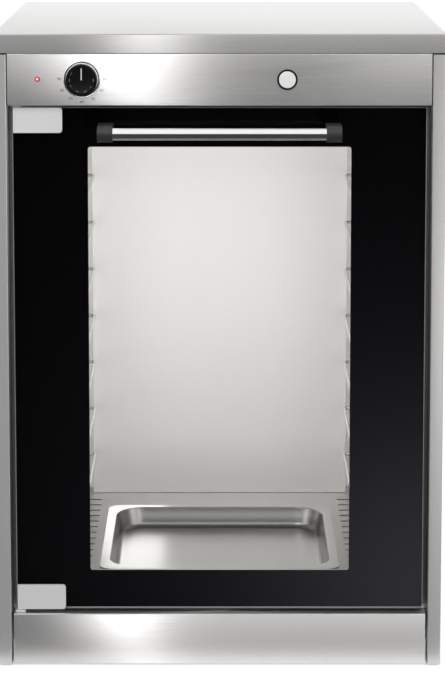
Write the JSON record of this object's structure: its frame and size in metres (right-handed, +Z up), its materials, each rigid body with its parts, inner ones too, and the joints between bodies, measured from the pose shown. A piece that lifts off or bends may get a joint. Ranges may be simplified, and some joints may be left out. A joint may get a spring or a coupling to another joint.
{
  "type": "proofing cabinet",
  "caption": "Undercounter steel proofing cabinet with a hinged glass door, bar handle, wire tray racks, a lift-out water tray and a dial thermostat.",
  "frame": {"origin": "centre of the footprint, handle included, on the ground", "axes": "+Z up, -Y out of the door's face, +X to the right as seen from the front"},
  "size_m": [0.595, 0.6804, 0.85],
  "materials": {
    "brushed_steel": "brushed stainless steel, fine horizontal grain on the fronts, upright on the sides",
    "galvanised_steel": "plain galvanised sheet",
    "cavity_steel": "bright cold-rolled stainless steel",
    "rack_chrome": "chromed wire",
    "seal_rubber": "soft black silicone",
    "hinge_steel": "satin, with polished edges",
    "dark_plastic": "dark grey, fine texture",
    "foot_rubber": "matt black",
    "bright_chrome": "polished chrome",
    "lamp_red": "clear red plastic with a pale centre",
    "black_plastic": "black, semi-gloss",
    "heater_steel": "dark, heat-tinted tube",
    "white_plastic": "white, glossy",
    "screw_zinc": "zinc plated",
    "door_glass": "clear toughened glass with polished edges",
    "black_enamel": "black ceramic enamel printed behind the glass"
  },
  "bodies": {
    "cabinet": {"worktop": "brushed_steel", "side_panel_left": "brushed_steel", "side_panel_right": "brushed_steel", "rear_panel": "galvanised_steel", "base_pan": "galvanised_steel", "plinth_panel": "brushed_steel", "control_panel": "brushed_steel", "top_rail": "galvanised_steel", "front_frame": "brushed_steel", "cavity_wall_left": "cavity_steel", "cavity_wall_right": "cavity_steel", "cavity_ceiling": "cavity_steel", "cavity_rear_wall": "cavity_steel", "air_baffle": "cavity_steel", "cavity_floor": "cavity_steel", "rack_left": "rack_chrome", "rack_right": "rack_chrome", "rack_stud_front_left": "cavity_steel", "rack_stud_front_right": "cavity_steel", "rack_stud_rear_left": "cavity_steel", "rack_stud_rear_right": "cavity_steel", "door_seal": "seal_rubber", "hinge_bracket_upper": "hinge_steel", "hinge_bracket_lower": "hinge_steel", "magnet_catch": "dark_plastic", "foot_front_left": "foot_rubber", "foot_front_right": "foot_rubber", "foot_rear_left": "foot_rubber", "foot_rear_right": "foot_rubber", "thermostat_body": "dark_plastic", "knob_bezel": "bright_chrome", "pilot_lamp": "lamp_red", "switch_body": "black_plastic", "heating_element": "heater_steel", "heater_bracket": "galvanised_steel", "fan_frame": "dark_plastic", "terminal_block": "white_plastic", "cable_gland": "black_plastic", "temperature_probe": "cavity_steel", "rear_screw_1": "screw_zinc", "rear_screw_2": "screw_zinc", "rear_screw_3": "screw_zinc", "rear_screw_4": "screw_zinc"},
    "door": {"door_glass": "door_glass", "glass_border": "black_enamel", "hinge_plate_upper": "hinge_steel", "hinge_plate_lower": "hinge_steel", "hinge_clamp_upper": "hinge_steel", "hinge_clamp_lower": "hinge_steel", "handle_bar": "bright_chrome", "handle_mount_left": "dark_plastic", "handle_mount_right": "dark_plastic", "handle_screw_left": "screw_zinc", "handle_screw_right": "screw_zinc", "catch_strike": "screw_zinc"},
    "knob": {"thermostat_knob": "black_plastic"},
    "button": {"push_button": "white_plastic"},
    "impeller": {"fan_impeller": "black_plastic"},
    "tray": {"water_tray": "cavity_steel"}
  },
  "joints": [
    {"name": "door_hinge", "type": "hinge", "parent": "cabinet", "child": "door", "pos_m": [-0.267, -0.28675, 0.4156], "axis": [0, 0, -1], "range_deg": [0, 105]},
    {"name": "knob_turn", "type": "hinge", "parent": "cabinet", "child": "knob", "pos_m": [-0.18, -0.29975, 0.791], "axis": [0, 1, 0], "range_deg": [0, 300]},
    {"name": "button_press", "type": "slide", "parent": "cabinet", "child": "button", "axis": [0, 1, 0], "range_m": [0, 0.003], "stiffness_N_per_m": 400},
    {"name": "fan_spin", "type": "hinge", "parent": "cabinet", "child": "impeller", "pos_m": [0, 0.19525, 0.0715], "axis": [0, 1, 0], "continuous": true},
    {"name": "tray_lift", "type": "slide", "parent": "cabinet", "child": "tray", "axis": [0, 0, 1], "range_m": [0, 0.06]}
  ]
}
